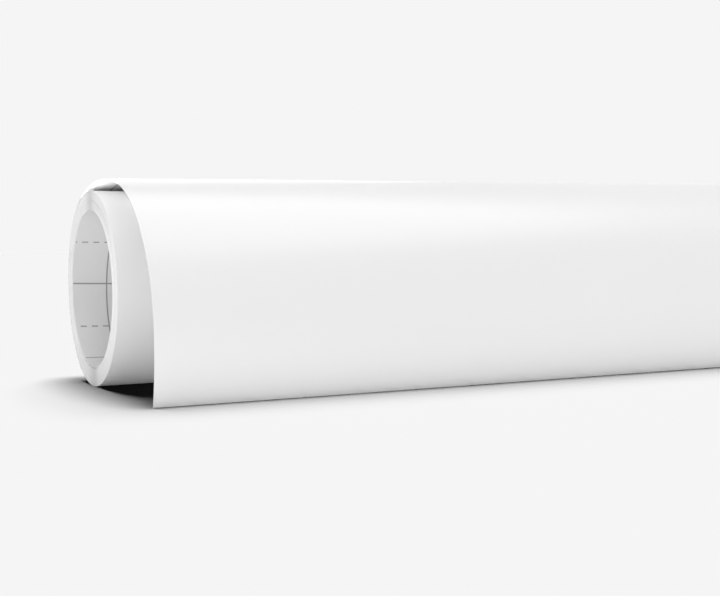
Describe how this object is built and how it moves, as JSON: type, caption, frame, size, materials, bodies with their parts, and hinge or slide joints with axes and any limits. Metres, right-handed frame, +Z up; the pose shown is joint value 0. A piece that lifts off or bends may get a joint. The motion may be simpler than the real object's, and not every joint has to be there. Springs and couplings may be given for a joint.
{
  "type": "roll of self-adhesive vinyl",
  "caption": "Coreless roll of glossy self-adhesive sign vinyl on a gridded release liner; the free end arches off the coil and stands on its cut edge, and its film peels.",
  "frame": {"origin": "on the surface the roll lies on, below the middle of the object's box", "axes": "+X along the roll, -Y towards the free end in front, +Z up"},
  "size_m": [0.305, 0.0832, 0.055],
  "materials": {
    "film": "gloss",
    "adhesive": "satin",
    "liner": "matte paper with a printed grid"
  },
  "bodies": {
    "coil": {"outer_film": "film", "outer_liner": "liner", "wound_film": "film", "wound_adhesive": "adhesive", "wound_liner": "liner", "bore_liner": "liner"},
    "flap_1": {"flap_film_1": "film", "flap_adhesive_1": "adhesive", "flap_liner_1": "liner"},
    "flap_2": {"flap_film_2": "film", "flap_adhesive_2": "adhesive", "flap_liner_2": "liner"},
    "flap_3": {"flap_film_3": "film", "flap_adhesive_3": "adhesive", "flap_liner_3": "liner"},
    "flap_4": {"flap_film_4": "film", "flap_adhesive_4": "adhesive", "flap_liner_4": "liner"},
    "flap_5": {"flap_film_5": "film", "flap_adhesive_5": "adhesive", "flap_liner_5": "liner"},
    "flap_6": {"flap_film_6": "film", "flap_adhesive_6": "adhesive", "flap_liner_6": "liner"},
    "flap_7": {"flap_film_7": "film", "flap_adhesive_7": "adhesive", "flap_liner_7": "liner"},
    "peel_1": {"peel_film_1": "film", "peel_adhesive_1": "adhesive"},
    "peel_2": {"peel_film_2": "film", "peel_adhesive_2": "adhesive"},
    "peel_3": {"peel_film_3": "film", "peel_adhesive_3": "adhesive"},
    "peel_4": {"peel_film_4": "film", "peel_adhesive_4": "adhesive"},
    "peel_5": {"peel_film_5": "film", "peel_adhesive_5": "adhesive"},
    "peel_6": {"peel_film_6": "film", "peel_adhesive_6": "adhesive"}
  },
  "joints": [
    {"name": "unroll", "type": "hinge", "parent": "coil", "child": "flap_1", "pos_m": [0, 0.01209, 0.05405], "axis": [-1, 0, 0], "range_deg": [0, 12], "stiffness_Nm_per_rad": 0.05},
    {"name": "unroll_2", "type": "hinge", "parent": "flap_1", "child": "flap_2", "pos_m": [0, 0.00147, 0.05485], "axis": [-1, 0, 0], "range_deg": [0, 12], "stiffness_Nm_per_rad": 0.05},
    {"name": "unroll_3", "type": "hinge", "parent": "flap_2", "child": "flap_3", "pos_m": [0, -0.00914, 0.05401], "axis": [-1, 0, 0], "range_deg": [0, 12], "stiffness_Nm_per_rad": 0.05},
    {"name": "unroll_4", "type": "hinge", "parent": "flap_3", "child": "flap_4", "pos_m": [0, -0.0193, 0.05094], "axis": [-1, 0, 0], "range_deg": [0, 12], "stiffness_Nm_per_rad": 0.05},
    {"name": "unroll_5", "type": "hinge", "parent": "flap_4", "child": "flap_5", "pos_m": [0, -0.02821, 0.04519], "axis": [-1, 0, 0], "range_deg": [0, 12], "stiffness_Nm_per_rad": 0.05},
    {"name": "unroll_6", "type": "hinge", "parent": "flap_5", "child": "flap_6", "pos_m": [0, -0.0352, 0.03721], "axis": [-1, 0, 0], "range_deg": [0, 12], "stiffness_Nm_per_rad": 0.05},
    {"name": "unroll_7", "type": "hinge", "parent": "flap_6", "child": "flap_7", "pos_m": [0, -0.03972, 0.02762], "axis": [-1, 0, 0], "range_deg": [0, 12], "stiffness_Nm_per_rad": 0.05},
    {"name": "peel", "type": "hinge", "parent": "flap_7", "child": "peel_1", "pos_m": [0, -0.04083, 0.02378], "axis": [-1, 0, 0], "range_deg": [0, 28]},
    {"name": "peel_2", "type": "hinge", "parent": "peel_1", "child": "peel_2", "pos_m": [0, -0.0414, 0.01982], "axis": [-1, 0, 0], "range_deg": [0, 28]},
    {"name": "peel_3", "type": "hinge", "parent": "peel_2", "child": "peel_3", "pos_m": [0, -0.04158, 0.01583], "axis": [-1, 0, 0], "range_deg": [0, 28]},
    {"name": "peel_4", "type": "hinge", "parent": "peel_3", "child": "peel_4", "pos_m": [0, -0.04147, 0.01183], "axis": [-1, 0, 0], "range_deg": [0, 28]},
    {"name": "peel_5", "type": "hinge", "parent": "peel_4", "child": "peel_5", "pos_m": [0, -0.0411, 0.00785], "axis": [-1, 0, 0], "range_deg": [0, 28]},
    {"name": "peel_6", "type": "hinge", "parent": "peel_5", "child": "peel_6", "pos_m": [0, -0.04047, 0.0039], "axis": [-1, 0, 0], "range_deg": [0, 28]}
  ],
  "couplings": [
    {"joint": "unroll_2", "follows": "unroll", "ratio": 1},
    {"joint": "unroll_3", "follows": "unroll", "ratio": 1},
    {"joint": "unroll_4", "follows": "unroll", "ratio": 1},
    {"joint": "unroll_5", "follows": "unroll", "ratio": 1},
    {"joint": "unroll_6", "follows": "unroll", "ratio": 1},
    {"joint": "unroll_7", "follows": "unroll", "ratio": 1},
    {"joint": "peel_2", "follows": "peel", "ratio": 1},
    {"joint": "peel_3", "follows": "peel", "ratio": 1},
    {"joint": "peel_4", "follows": "peel", "ratio": 1},
    {"joint": "peel_5", "follows": "peel", "ratio": 1},
    {"joint": "peel_6", "follows": "peel", "ratio": 1}
  ]
}
